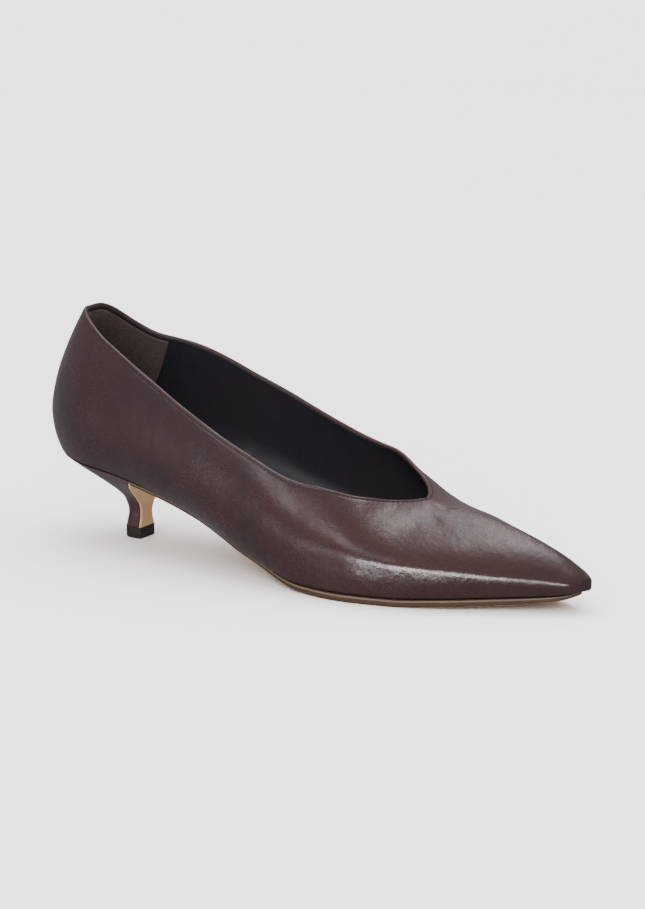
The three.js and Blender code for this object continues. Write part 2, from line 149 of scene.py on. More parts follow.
def wall(x, opened, side, shares):
    """Points of the upper's outer face on one side of a section, at shares of its whole length."""
    at = x / LENGTH
    towards_ball = ease(at, 0.15, 0.6)
    girth = (HEEL_WIDTH + (BALL_WIDTH - HEEL_WIDTH) * towards_ball) * opened
    height = BACK_HEIGHT + (THROAT_HEIGHT - BACK_HEIGHT) * towards_ball
    way = 0 if side == OUTER else 1
    sole = side * column(PLAN, 1 + way, at) * girth
    wide = side * column(PLAN, 3 + way, at) * girth
    ridge = column(PLAN, 5, at) * girth
    full = column(PROFILE, 3, at) * height
    top = column(PROFILE, 4, at) * height
    shoulder = full + (top - full) * column(PROFILE, 5, at)
    brow = column(PROFILE, 6 + way, at) * (wide - ridge)
    t = np.linspace(0, 1, 90)[:, None]
    lower = (
        (1 - t) ** 2 * np.array([sole, 0])
        + 2 * t * (1 - t) * np.array([wide, 0.4 * full])
        + t * t * np.array([wide, full])
    )
    upper = (
        (1 - t) ** 3 * np.array([wide, full])
        + 3 * t * (1 - t) ** 2 * np.array([wide, shoulder])
        + 3 * t * t * (1 - t) * np.array([ridge + brow, top - 0.15 * abs(brow)])
        + t**3 * np.array([ridge, top])
    )
    line = np.vstack([lower, upper[1:]])
    steps = np.hypot(*np.diff(line, axis=0).T)
    length = np.concatenate([[0], np.cumsum(steps)])
    y = np.interp(shares * length[-1], length, line[:, 0])
    h = np.interp(shares * length[-1], length, line[:, 1])
    fade = max(0.0, 1 - x / BACK_REACH) ** 2
    foot = feather_height(x + back_profile(0.0) * fade)
    return np.stack([x + back_profile(h) * fade, y, foot + h], 1)


def cover(x, side):
    """Share of a section that the leather covers, up to the topline."""
    if x >= THROAT_AT:
        return 1.0
    return float(column(TOPLINE, 1 if side == OUTER else 2, x / THROAT_AT))


def station_list(heel, seat, quarter, near_throat, vamp, toe):
    """Sections from back to toe as (x, how far the round ends have opened)."""
    turn = np.arange(heel) / heel * math.pi / 2
    found = [(HEEL_ROUND * (1 - math.cos(a)), math.sin(a)) for a in turn]
    found += [(x, 1.0) for x in np.linspace(HEEL_ROUND, BREAST_AT, seat, endpoint=False)]
    bend = THROAT_AT - NEAR_THROAT
    found += [(x, 1.0) for x in np.linspace(BREAST_AT, bend, quarter, endpoint=False)]
    crowd = 1 - (1 - np.arange(near_throat) / near_throat) ** 1.8
    found += [(bend + (THROAT_AT - bend) * t, 1.0) for t in crowd]
    spread = (np.arange(vamp) / vamp) ** 1.7
    found += [(THROAT_AT + (LENGTH - TOE_ROUND - THROAT_AT) * t, 1.0) for t in spread]
    turn = np.arange(toe + 1) / toe * math.pi / 2
    opening = np.append(np.cos(turn[:-1]), 0.0)
    found += [(LENGTH - TOE_ROUND * (1 - math.sin(a)), o) for a, o in zip(turn, opening)]
    return found


# The group is centred over its box: the top lift says how far the frame was moved.
lift_low, lift_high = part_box("top_lift")
SHIFT = np.array([
    lift_low.x * 1000 - (LIFT_AT - LIFT_LENGTH / 2),
    (lift_low.y + lift_high.y) * 500,
    0.0,
])


def place(points):
    """Metres in the row frame, from millimetres as built."""
    return (np.asarray(points, float) + SHIFT) / 1000


class Sheets:
    """A mesh under construction. Points that coincide become one, and empty faces are left out."""

    def __init__(self):
        self.points, self.faces, self.looks, self.known = [], [], [], {}

    def add(self, point):
        key = tuple(int(round(v * 1000)) for v in point)
        if key not in self.known:
            self.known[key] = len(self.points)
            self.points.append(np.array(point, float))
        return self.known[key]

    def face(self, corners, look=0):
        ring = [c for i, c in enumerate(corners) if c != corners[i - 1]]
        if len(set(ring)) == len(ring) >= 3:
            self.faces.append(ring)
            self.looks.append(look)

    def sheet(self, rows, turned=False, looks=None):
        for i in range(len(rows) - 1):
            for j in range(len(rows[i]) - 1):
                ring = [rows[i][j], rows[i + 1][j], rows[i + 1][j + 1], rows[i][j + 1]]
                self.face(ring[::-1] if turned else ring, looks[j] if looks else 0)

    def tube(self, rings, turned=False, looks=None):
        """Faces round about, between closed rings."""
        self.sheet([ring + ring[:1] for ring in rings], turned, looks)

    def cap(self, ring, turned, look=0):
        """Faces that close the end of a tube, across from one half of its ring to the other."""
        half = len(ring) // 2
        self.sheet([ring[:half], ring[::-1][:half]], turned, [look] * half)

    def array(self):
        return np.array(self.points)


def vertex_normals(points, faces):
    """Normals of the points, each the sum of those of its faces weighted by area."""
    total = np.zeros_like(points)
    for ring in faces:
        corners = points[ring]
        area = np.zeros(3)
        for k in range(1, len(ring) - 1):
            area += np.cross(corners[k] - corners[0], corners[k + 1] - corners[0])
        for corner in ring:
            total[corner] += area
    return total / np.maximum(np.linalg.norm(total, axis=1, keepdims=True), 1e-12)


def make(name, points, faces, materials, looks=None, values=None):
    """A smooth piece that rides on the shoe, from points in millimetres as built."""
    mesh = bpy.data.meshes.new(name)
    mesh.from_pydata(place(points).tolist(), [], faces)
    for material in materials:
        mesh.materials.append(material)
    if looks:
        mesh.polygons.foreach_set("material_index", looks)
    for key, numbers in (values or {}).items():
        attribute = mesh.attributes.new(key, "FLOAT", "POINT")
        attribute.data.foreach_set("value", np.asarray(numbers, np.float32))
    mesh.polygons.foreach_set("use_smooth", [True] * len(faces))
    mesh.validate()
    mesh.update()
    piece = bpy.data.objects.new(name, mesh)
    bpy.context.scene.collection.objects.link(piece)
    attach(piece, "root")
    return piece


def crisp(piece, degrees):
    """Edges sharper than an angle stay sharp in the shading."""
    piece.data.set_sharp_from_angle(angle=math.radians(degrees))
    return piece


# Materials


class Shader:
    """Nodes of one material."""

    def __init__(self, name, colour, roughness, specular=0.5):
        self.material = bpy.data.materials.new(name)
        self.material.use_nodes = True
        self.tree = self.material.node_tree
        self.surface = self.tree.nodes["Principled BSDF"]
        self.set("Base Color", (*colour, 1))
        self.set("Roughness", roughness)
        self.set("Specular IOR Level", specular)
        self.where = self.node("ShaderNodeTexCoord").outputs["Object"]

    def set(self, socket, value):
        self.surface.inputs[socket].default_value = value

    def node(self, kind, **settings):
        made = self.tree.nodes.new(kind)
        for key, value in settings.items():
            setattr(made, key, value)
        return made

    def join(self, source, target):
        self.tree.links.new(source, target)

    def stretched(self, scale):
        mapping = self.node("ShaderNodeMapping")
        mapping.inputs["Scale"].default_value = scale
        self.join(self.where, mapping.inputs["Vector"])
        return mapping.outputs["Vector"]

    def noise(self, scale, detail=3.0, rough=0.5, vector=None):
        made = self.node("ShaderNodeTexNoise")
        made.inputs["Scale"].default_value = scale
        made.inputs["Detail"].default_value = detail
        made.inputs["Roughness"].default_value = rough
        self.join(vector or self.where, made.inputs["Vector"])
        return made.outputs["Fac"]

    def cells(self, scale):
        made = self.node("ShaderNodeTexVoronoi", feature="SMOOTH_F1")
        made.inputs["Scale"].default_value = scale
        self.join(self.where, made.inputs["Vector"])
        return made.outputs["Distance"]

    def lengthwise(self):
        """Place along the shoe, in metres."""
        made = self.node("ShaderNodeSeparateXYZ")
        self.join(self.where, made.inputs["Vector"])
        return made.outputs["X"]

    def attribute(self, name):
        return self.node("ShaderNodeAttribute", attribute_name=name).outputs["Fac"]

    def span(self, source, low, high, start=0.0, end=1.0):
        """Stretch what lies between low and high over start to end."""
        made = self.node("ShaderNodeMapRange")
        limits = {"From Min": low, "From Max": high, "To Min": start, "To Max": end}
        for socket, value in limits.items():
            made.inputs[socket].default_value = value
        self.join(source, made.inputs["Value"])
        return made.outputs["Result"]

    def maths(self, operation, first, second):
        made = self.node("ShaderNodeMath", operation=operation)
        for socket, value in zip(made.inputs, (first, second)):
            if isinstance(value, (int, float)):
                socket.default_value = value
            else:
                self.join(value, socket)
        return made.outputs["Value"]

    def times(self, source, factor):
        return self.maths("MULTIPLY", source, factor)

    def mix(self, first, second, fac):
        """Colour between two others, each a node's or a plain one."""
        made = self.node("ShaderNodeMix", data_type="RGBA")
        for number, value in ((6, first), (7, second), (0, fac)):
            socket = made.inputs[number]
            if isinstance(value, tuple):
                socket.default_value = (*value, 1)
            else:
                self.join(value, socket)
        return made.outputs[2]

    def bump(self, height, strength, distance):
        made = self.node("ShaderNodeBump")
        made.inputs["Strength"].default_value = strength
        made.inputs["Distance"].default_value = distance
        before = self.surface.inputs["Normal"]
        if before.is_linked:
            self.join(before.links[0].from_socket, made.inputs["Normal"])
        self.join(height, made.inputs["Height"])
        self.join(made.outputs["Normal"], before)


def tinted(colour, red, green, blue):
    return (colour[0] * red, colour[1] * green, colour[2] * blue)


def leather(name, dark, light, roughness, specular=0.4, grain=0.00004, collar=False):
    """Smooth leather: soft mottling, streaks up and down, fine grain with a few pores.

    Leather with a collar is duller at the back, has a painted highlight along its folded edge
    and painted shade where it meets the sole.
    """
    shader = Shader(name, dark, roughness, specular)
    clouds = shader.span(shader.noise(46, 4, 0.65), 0.36, 0.62)
    warmth = shader.span(shader.noise(26, 3, 0.55, shader.stretched((1.3, 1.1, 0.9))), 0.42, 0.60)
    streaks = shader.span(shader.noise(150, 3, 0.6, shader.stretched((1, 1, 0.22))), 0.35, 0.65)
    speckle = shader.span(shader.noise(1500, 2, 0.5), 0.3, 0.75)
    shade = shader.mix(dark, light, clouds)
    shade = shader.mix(shade, tinted(light, 1.22, 0.80, 0.76), shader.times(warmth, 0.75))
    brushed = tuple(0.5 * (a + b) * 1.25 for a, b in zip(dark, light))
    shade = shader.mix(shade, brushed, shader.times(streaks, 0.45))
    shade = shader.mix(shade, tinted(dark, 0.8, 0.8, 0.8), shader.times(speckle, 0.15))
    if collar:
        back = shader.span(shader.lengthwise(), -0.09, 0.04, 1.0, 0.0)
        shade = shader.mix(shade, tinted(light, 0.78, 0.95, 1.05), shader.times(back, 0.5))
        # Painted highlight: the folded edge of the collar is lightened as if it caught the light.
        painted_edge_highlight = shader.span(shader.attribute("edge"), 0.4, 1.3, 1.0, 0.0)
        shade = shader.mix(shade, tinted(light, 1.5, 1.5, 1.5), shader.times(painted_edge_highlight, 0.5))
        # Painted shade: the leather is darkened near its foot, in the gap between upper and sole
        # where shade falls.
        foot = shader.span(shader.attribute("foot"), 0.2, 1.6, 1.0, 0.0)
        shade = shader.mix(shade, tinted(dark, 0.5, 0.5, 0.5), shader.times(foot, 0.4))
    shader.join(shade, shader.surface.inputs["Base Color"])
    gloss = shader.span(clouds, 0, 1, roughness + 0.05, roughness - 0.03)
    gloss = shader.maths("ADD", gloss, shader.span(speckle, 0, 1, -0.04, 0.08))
    shader.join(gloss, shader.surface.inputs["Roughness"])
    shader.bump(shader.cells(1150), 0.4, grain)
    shader.bump(shader.noise(430, 4, 0.6), 0.6, grain * 4.5)
    shader.bump(shader.noise(95, 2, 0.5), 0.5, grain * 12)
    return shader.material


burgundy = leather(
    "burgundy_leather", (0.0112, 0.0046, 0.0053), (0.0200, 0.0090, 0.0100), 0.30, collar=True
)
burgundy_heel = leather(
    "burgundy_heel", (0.0215, 0.0098, 0.0112), (0.0320, 0.0165, 0.0182), 0.34, specular=0.3
)
black_lining = leather(
    "black_lining", (0.0085, 0.0088, 0.0120), (0.0125, 0.0130, 0.0170), 0.44, 0.5, grain=0.00002
)
black_sock = leather(
    "black_sock", (0.0110, 0.0114, 0.0150), (0.0160, 0.0166, 0.0210), 0.42, specular=0.5
)

suede = Shader("brown_suede", (0.045, 0.029, 0.028), 0.85, 0.2)
nap = suede.span(suede.noise(900, 4, 0.7), 0.35, 0.65)
patches = suede.span(suede.noise(60, 2, 0.5), 0.35, 0.65)
tone = suede.mix((0.036, 0.0225, 0.0215), (0.060, 0.039, 0.037), nap)
tone = suede.mix(tone, (0.035, 0.022, 0.0215), suede.times(patches, 0.5))
suede.join(tone, suede.surface.inputs["Base Color"])
suede.set("Sheen Weight", 0.1)
suede.set("Sheen Roughness", 0.5)
suede.bump(nap, 0.5, 0.00006)

thread = Shader("burgundy_thread", (0.024, 0.013, 0.0145), 0.6, 0.15)
thread.bump(thread.noise(3000, 2, 0.5), 0.4, 0.00003)


def bare_leather(name, colour, deep, roughness):
    """Vegetable-tanned sole leather, with its fibres along the shoe."""
    shader = Shader(name, colour, roughness, 0.12)
    fibres = shader.span(shader.noise(260, 4, 0.6, shader.stretched((0.15, 1, 1))), 0.3, 0.7)
    clouds = shader.span(shader.noise(40, 2, 0.5), 0.35, 0.65)
    tint = shader.mix(colour, deep, shader.times(fibres, 0.5))
    tint = shader.mix(tint, deep, shader.times(clouds, 0.3))
    shader.join(tint, shader.surface.inputs["Base Color"])
    shader.bump(fibres, 0.35, 0.00004)
    shader.bump(shader.noise(1800, 2, 0.5), 0.3, 0.00003)
    return shader.material


tan_under = bare_leather("tan_underside", (0.40, 0.25, 0.145), (0.31, 0.18, 0.095), 0.5)
cream_edge = bare_leather("cream_edge", (0.115, 0.079, 0.062), (0.085, 0.056, 0.043), 0.6)
brown_edge = bare_leather("brown_edge", (0.046, 0.027, 0.018), (0.034, 0.019, 0.012), 0.45)
tan_breast = bare_leather("tan_breast", (0.36, 0.235, 0.13), (0.29, 0.175, 0.09), 0.5)

rubber = Shader("black_rubber", (0.011, 0.0085, 0.0085), 0.62, 0.25)
grit = rubber.noise(1400, 3, 0.6)
rubber.join(rubber.span(grit, 0.3, 0.7, 0.55, 0.72), rubber.surface.inputs["Roughness"])
rubber.bump(grit, 0.4, 0.00008)

# The upper's skin, finer than the frame's, with its distances to the topline and the foot
stations = station_list(28, 14, 92, 40, 56, 16)
low_end = np.array([0, 0.002, 0.005, 0.009, 0.014, 0.02])
high_end = 1 - np.array([0.05, 0.041, 0.034, 0.028, 0.023, 0.019, 0.0155, 0.0125, 0.0098,
                         0.0075, 0.0055, 0.0038, 0.0024, 0.0013, 0.0005, 0])
SHARES = np.concatenate([low_end, np.linspace(0.03, 0.94, 40), high_end])
skin = Sheets()
rows = {}
for side in (OUTER, INNER):
    rows[side] = []
    for x, opened in stations:
        line = wall(x, opened, side, SHARES * cover(x, side))
        rows[side].append([skin.add(point) for point in line])
    skin.sheet(rows[side], turned=side == INNER)
skin_points = skin.array()
skin_normals = vertex_normals(skin_points, skin.faces)

throat = next(i for i, (x, _) in enumerate(stations) if x >= THROAT_AT)
edge_numbers = [rows[OUTER][i][-1] for i in range(throat, -1, -1)]
edge_numbers += [rows[INNER][i][-1] for i in range(1, throat)]
edge_points = skin_points[edge_numbers]
foot_numbers = [rows[OUTER][i][0] for i in range(len(stations))]
foot_numbers += [rows[INNER][i][0] for i in range(len(stations) - 2, 0, -1)]
foot_points = skin_points[foot_numbers]


def distance_to_line(points, line):
    """Distance of each point to a closed line through the given places."""
    found = np.full(len(points), 1e9)
    for a, b in zip(line, np.roll(line, -1, axis=0)):
        along = b - a
        t = np.clip((points - a) @ along / max(along @ along, 1e-12), 0, 1)
        found = np.minimum(found, np.linalg.norm(points - a - t[:, None] * along, axis=1))
    return found


to_edge = distance_to_line(skin_points, edge_points)
to_foot = distance_to_line(skin_points, foot_points)


def rounding(distance, radius):
    """How far a rounded edge has fallen back, at a distance from the edge."""
    left = np.clip(radius - distance, 0, None)
    return radius - np.sqrt(np.maximum(radius**2 - left**2, 0))


def swell(points, size, height, seed):
    """Slow unevenness of the leather."""
    shift = Vector((seed, 0, 0))
    return height * np.array([noise.noise(Vector(p / size) + shift) for p in points])


def ridge(distance, at, half_width):
    """A soft ridge at a distance, 1 on its top."""
    return np.exp(-(((distance - at) / half_width) ** 2))


# Stretch folds from the throat over the vamp: start and end as (x, y), depth, half width
FOLDS = (
    ((188, -3), (207, -9), 0.16, 1.5), ((187, -7), (203, -17), 0.13, 1.4),
    ((190, 2), (210, 3), 0.12, 1.6), ((184, -12), (196, -24), 0.10, 1.3),
    ((187, 6), (203, 12), 0.13, 1.5),
)


def stretch_folds(points):
    """Soft troughs that fade out towards their ends, each with a ridge on both sides."""
    found = np.zeros(len(points))
    for start, end, depth, half in FOLDS:
        start, end = np.array(start, float), np.array(end, float)
        along = (end - start) / np.linalg.norm(end - start)
        from_start = points[:, :2] - start
        share = from_start @ along / np.linalg.norm(end - start)
        beside = (from_start @ [-along[1], along[0]]) / half
        strength = np.clip(4 * share * (1 - share), 0, 1) ** 1.2
        found += depth * strength * (beside**2 - 1) * np.exp(-(beside**2) / 1.5)
    return np.where(points[:, 2] > 15, found, 0)


# The collar is folded over: a soft ridge at its edge, and a trough where it is stitched
HALF = WALL / 2
STITCH_FROM_EDGE, FOOT_ROUND = 1.75, 0.8
uneven = swell(skin_points, 13.0, 0.10, 3.0) + swell(skin_points, 5.5, 0.03, 7.0)
away_from_edges = ease(to_edge, 1.5, 9) * ease(to_foot, 1, 8)
outwards = away_from_edges * (uneven + stretch_folds(skin_points))
outwards += 0.10 * ridge(to_edge, 0.9, 0.55) - 0.13 * ridge(to_edge, STITCH_FROM_EDGE, 0.28)
outwards -= rounding(to_edge, HALF) + rounding(to_foot, FOOT_ROUND)
outer_face = skin_points + skin_normals * outwards[:, None]
inner_face = skin_points - skin_normals * (WALL - rounding(to_edge, HALF))[:, None]

shell = Sheets()
values = {"edge": [], "foot": []}
outer_map, inner_map = [], []
for face_points, numbers in ((outer_face, outer_map), (inner_face, inner_map)):
    for number, point in enumerate(face_points):
        known = len(shell.points)
        numbers.append(shell.add(point))
        if len(shell.points) > known:
            values["edge"].append(to_edge[number])
            values["foot"].append(to_foot[number])
for ring in skin.faces:
    shell.face([outer_map[c] for c in ring])
    shell.face([inner_map[c] for c in ring[::-1]])
for numbers in (edge_numbers, foot_numbers[::-1]):
    for a, b in zip(numbers, numbers[1:] + numbers[:1]):
        shell.face([outer_map[a], inner_map[a], inner_map[b], outer_map[b]][::-1])
upper = make(
    "upper_leather", shell.array(), shell.faces, [burgundy], values=values
)
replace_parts(upper, "upper")

# Lining, cemented to the inside. Its upper edge dips into the wall below the folded collar.
LINING, LINING_SEAM_AT = 0.16, 103.0
reach = HALF + (WALL + LINING - HALF) * ease(to_edge, 0.40, 0.95)
reach += 0.10 * ridge(skin_points[:, 0], LINING_SEAM_AT, 0.8) * ease(to_edge, 1.6, 2.4)
lining_points = skin_points - skin_normals * reach[:, None]
make("lining", lining_points, [ring[::-1] for ring in skin.faces], [black_lining])

# Grip of suede at the back of the heel, a little proud of the lining. Its front edge leans
# forward with the height: each line of the skin is cut where it meets the edge.
GRIP, GRIP_LEAN, GRIP_AT, GRIP_HEIGHT, GRIP_COLUMNS = 0.38, 0.47, 40.0, 75.0, 60
GRIP_BELOW_EDGE, COLUMN_PITCH = 2.4, 1.5


def front_of_grip(height):
    """Place of the grip's front edge, which leans forward with the height."""
    return GRIP_AT + np.maximum(GRIP_LEAN * (height - GRIP_HEIGHT), -14)


def at_spots(table, spots):
    """Rows of a table at places that lie between its rows."""
    steps = np.arange(len(table))
    return np.array([np.interp(spots, steps, table[:, k]) for k in range(table.shape[1])]).T


grip = Sheets()
for side in (OUTER, INNER):
    back_rows = rows[side][:GRIP_COLUMNS]
    ladder = np.array([skin_points[row] for row in back_rows])
    facing = np.array([skin_normals[row] for row in back_rows])
    free = np.array([to_edge[row] for row in back_rows])
    lines = []
    for level in range(len(SHARES)):
        ahead = ladder[:, level, 0] - front_of_grip(ladder[:, level, 2])
        last = int(np.argmax(ahead > 0))
        cut = last - ahead[last] / (ahead[last] - ahead[last - 1])
        spots = cut * (1 - (1 - np.linspace(0, 1, GRIP_COLUMNS)) ** 1.6)
        below_edge = at_spots(free[:, level, None], spots)[:, 0] - GRIP_BELOW_EDGE
        inside = np.minimum((cut - spots) * COLUMN_PITCH, below_edge)
        reach = HALF + (WALL + LINING + GRIP - HALF) * ease(inside, -0.35, 0.40)
        sunk = at_spots(facing[:, level], spots) * reach[:, None]
        lines.append([grip.add(point) for point in at_spots(ladder[:, level], spots) - sunk])
    grip.sheet(lines, turned=side == OUTER)
make("heel_grip", grip.array(), grip.faces, [suede.material])


def sock_edge(side, i):
    """Edge of the sock at a station: where the inside reaches the insole's height, and its foot."""
    line = skin_points[rows[side][i]] - skin_normals[rows[side][i]] * (WALL + LINING + 0.1)
    height = line[:, 2] - feather_height(line[:, 0])
    k = int(np.argmax(height > INSOLE))
    if k == 0:
        top = line[0].copy()
    else:
        t = (INSOLE - height[k - 1]) / (height[k] - height[k - 1])
        top = line[k - 1] + t * (line[k] - line[k - 1])
    foot = line[0].copy()
    foot[2] = feather_height(foot[0]) + 0.02
    top[2] = feather_height(top[0]) + INSOLE
    return foot, top


outer_shares = [0, 0.012, 0.03, 0.055, 0.09]
inner_shares = [0.91, 0.945, 0.97, 0.988, 1]
across = np.concatenate([outer_shares, np.linspace(0.14, 0.86, 17), inner_shares])
SOCK_CROWN, HEEL_PAD, SOCK_ROUND = 0.35, 0.9, 0.7
sock = Sheets()
sock_rows = []
for i, (x, _) in enumerate(stations):
    (foot_a, top_a), (foot_b, top_b) = sock_edge(OUTER, i), sock_edge(INNER, i)
    width = np.linalg.norm(top_b - top_a)
    from_edge = np.minimum(across, 1 - across) * width
    pad = HEEL_PAD * ease(-x, -75, -45) + SOCK_CROWN
    lift = pad * (1 - (2 * across - 1) ** 4) * min(1.0, width / 20)
    lift -= rounding(from_edge, SOCK_ROUND)
    line = top_a + across[:, None] * (top_b - top_a)
    line[:, 2] += lift
    ring = [foot_a, *line, foot_b]
    sock_rows.append([sock.add(point) for point in ring])
sock.sheet(sock_rows, turned=True)
sock.sheet([[row[0], row[-1]] for row in sock_rows])
sock_piece = make("sock", sock.array(), sock.faces, [black_sock])
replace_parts(sock_piece, "insole")

# Heel: the cover runs from the seat to the top lift, with a flat breast
breast = next(i for i, (x, _) in enumerate(stations) if x >= BREAST_AT)
seat = {side: skin_points[[rows[side][i][0] for i in range(breast + 1)]] for side in (OUTER, INNER)}
seat_share = {}
for side in (OUTER, INNER):
    steps = np.linalg.norm(np.diff(seat[side], axis=0), axis=1)
    seat_share[side] = np.concatenate([[0], np.cumsum(steps)]) / steps.sum()


def heel_foot(side, share):
    """Place on the foot of the heel, a half circle with straight sides, from back to breast."""
    radius = LIFT_WIDTH / 2 - SPLAY
    back = LIFT_AT - LIFT_LENGTH / 2 + SPLAY
    straight = LIFT_AT + LIFT_LENGTH / 2 - BREAST_THICK - SEAM - back - radius
    arc = radius * math.pi / 2
    along = share * (arc + straight)
    turn = min(along, arc) / radius
    x = back + radius * (1 - math.cos(turn)) + max(0.0, along - arc)
    return np.array([x, side * radius * math.sin(turn), LIFT_HEIGHT])


def heel_point(side, i, down):
    """Place on the heel under a station of the seat, from 0 at the seat to 1 at the foot."""
    share = seat_share[side][i]
    start, end = seat[side][i], heel_foot(side, share)
    back, front, sides = (float(column(HEEL, k, down)) for k in (1, 2, 3))
    x = start[0] + (end[0] - start[0]) * (back + (front - back) * share)
    y = start[1] + (end[1] - start[1]) * sides
    z = start[2] - SEAM + (end[2] - start[2] + SEAM) * down
    return np.array([x, y, z])


HEEL_TOP_ROUND, HEEL_FOOT_ROUND, HEEL_RISE = 0.5, 0.15, 30
downs = np.concatenate([[0, 0.004, 0.01, 0.02], np.linspace(0.035, 0.985, 46), [0.995, 1.0]])
cover_mesh = Sheets()
cover_rows = []
for down in downs:
    around = [heel_point(OUTER, i, down) for i in range(breast, -1, -1)]
    around += [heel_point(INNER, i, down) for i in range(1, breast + 1)]
    middle = (around[0] + around[-1]) / 2
    depth = down * (SEAT_HEIGHT - LIFT_HEIGHT)
    drawn = rounding(depth, HEEL_TOP_ROUND) + rounding((1 - down) * HEEL_RISE, HEEL_FOOT_ROUND)
    ring = []
    for point in around:
        inward = middle - point
        inward[2] = 0
        size = np.linalg.norm(inward)
        ring.append(point + inward / max(size, 1e-9) * min(drawn, size))
    cover_rows.append([cover_mesh.add(point) for point in ring])
cover_mesh.tube(cover_rows)
cover_mesh.cap(cover_rows[0], turned=False)
cover_mesh.cap(cover_rows[-1], turned=True)
heel = make(
    "heel_cover", cover_mesh.array(), cover_mesh.faces, [burgundy_heel]
)
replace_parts(crisp(heel, 50), "heel")

# Sole: rows from the top lift up the breast and on to the toe tip
sole_rows = []
for down in np.linspace(1, 0, 49):
    ends = [heel_point(side, breast, down) + [SEAM, 0, 0] for side in (OUTER, INNER)]
    sole_rows.append([*ends, BREAST_THICK, 0.0])
flap_count = len(sole_rows)
for i in range(breast + 1, len(stations)):
    at = (stations[i][0] - BREAST_AT) / (LENGTH - BREAST_AT)
    outset = float(column(SOLE, 1, at)) * SOLE_THICK
    ends = []
    for side in (OUTER, INNER):
        feet = skin_points[[row[0] for row in rows[side]]]
        if i == len(stations) - 1:
            out = np.array([1.0, 0, 0])
        else:
            along = feet[i + 1] - feet[i - 1]
            out = np.array([-side * along[1], side * along[0], 0])
            out /= np.linalg.norm(out)
        point = feet[i] + out * outset
        point[2] = feather_height(point[0]) - SEAM
        ends.append(point)
    thick = float(column(SOLE, 2, at)) * SOLE_THICK
    sole_rows.append([*ends, thick, float(column(SOLE, 3, at)) * SOLE_THICK])


def flap_facing(i):
    """Way in which the flap's outer face lies from its back, lengthened where the flap bends."""
    def facing(a, b):
        along = sole_rows[b][0] - sole_rows[a][0]
        return np.array([along[2], 0, -along[0]]) / math.hypot(along[0], along[2])

    if i == 0:
        return facing(0, 1)
    before, after = facing(i - 1, i), facing(i, i + 1)
    middle = (before + after) / np.linalg.norm(before + after)
    return middle / (middle @ before)


# Profile of the edge as (inset, depth) in shares of the sole's thickness, from the top down
EDGE_INSET = 0.22
EDGE = np.array([
    [0.20, 0.00], [0.10, 0.05], [0.03, 0.10], [0.00, 0.17], [0.00, 0.30], [0.00, 0.43],
    [0.015, 0.56], [0.03, 0.70], [0.065, 0.84], [0.13, 0.95], [EDGE_INSET, 1.00],
])
UNDER, CREAM, BROWN, BREAST = range(4)
belly_shares = np.linspace(0, 1, 18)[1:-1]
sole = Sheets()
sole_grid = []
for i, (outer, inner, thick, middle) in enumerate(sole_rows):
    facing = flap_facing(i) if i < flap_count else np.array([0, 0, -1.0])
    width = np.linalg.norm(inner - outer)
    along = (inner - outer) / max(width, 1e-9)
    size = min(thick, width * 0.45 / EDGE_INSET)
    near = [outer + along * inset * size + facing * depth * thick for inset, depth in EDGE]
    far = [inner - along * inset * size + facing * depth * thick for inset, depth in EDGE[::-1]]
    share_in = EDGE_INSET * size / max(width, 1e-9)
    under = []
    for share in belly_shares:
        s = share_in + (1 - 2 * share_in) * share
        belly = middle * (1 - (2 * s - 1) ** 2)
        under.append(outer + along * s * width + facing * (thick + belly))
    sole_grid.append([sole.add(point) for point in [*near, *under, *far]])
# The edge from the top: the brown colour as painted shade in the gap under the upper, a cream line,
# the brown edge and its tan corner
edge_look = [BROWN] * 2 + [CREAM] * 2 + [BROWN] * 5 + [UNDER]
sole_looks = edge_look + [UNDER] * (len(belly_shares) + 1) + edge_look[::-1]
for i in range(len(sole_grid) - 1):
    looks = [BREAST if i < flap_count - 1 else look for look in sole_looks] + [BROWN]
    sole.tube(sole_grid[i : i + 2], looks=looks)
sole.cap(sole_grid[0], turned=False, look=BREAST)
sole.cap(sole_grid[-1], turned=True, look=UNDER)
outsole = make(
    "outsole_leather", sole.array(), sole.faces, [tan_under, cream_edge, brown_edge, tan_breast],
    looks=sole.looks,
)
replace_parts(crisp(outsole, 40), "outsole")

# Top lift: a plate with softened edges
radius = LIFT_WIDTH / 2
lift_back, lift_front = LIFT_AT - LIFT_LENGTH / 2, LIFT_AT + LIFT_LENGTH / 2
corner = 0.5


def arc(x, y, size, start, end, count):
    """Points of an arc about (x, y), between two angles in quarter turns."""
    turns = np.linspace(start * math.pi / 2, end * math.pi / 2, count)
    return [(x + size * math.cos(a), y + size * math.sin(a)) for a in turns]


outline = np.array([
    *arc(lift_front - corner, corner - radius, corner, -1, 0, 7),
    *arc(lift_front - corner, radius - corner, corner, 0, 1, 7),
    *arc(lift_back + radius, 0.0, radius, 1, 3, 41),
])
lift = Sheets()
lift_rows = []
centre = np.array([LIFT_AT, 0.0])
# Rows: height, how far the outline has drawn in
LIFT_EDGES = (
    (0, 0.45), (0.06, 0.2), (0.2, 0.05), (0.4, 0.0), (4.7, 0.0), (4.9, 0.05), (5.0, 0.18),
)
for z, inset in LIFT_EDGES:
    drawn = centre + (outline - centre) * (1 - inset / radius)
    lift_rows.append([lift.add((x, y, z)) for x, y in drawn])
lift.tube(lift_rows, turned=True)
lift.face(lift_rows[0][::-1])
lift.face(lift_rows[-1])
top_lift = make("top_lift_rubber", lift.array(), lift.faces, [rubber.material])
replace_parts(crisp(top_lift, 40), "top_lift")

# A row of stitches along the folded collar
tree = BVHTree.FromPolygons([tuple(p) for p in outer_face], skin.faces)
PITCH, STITCH, THREAD, STITCH_RINGS = 2.1, 1.55, 0.17, 7


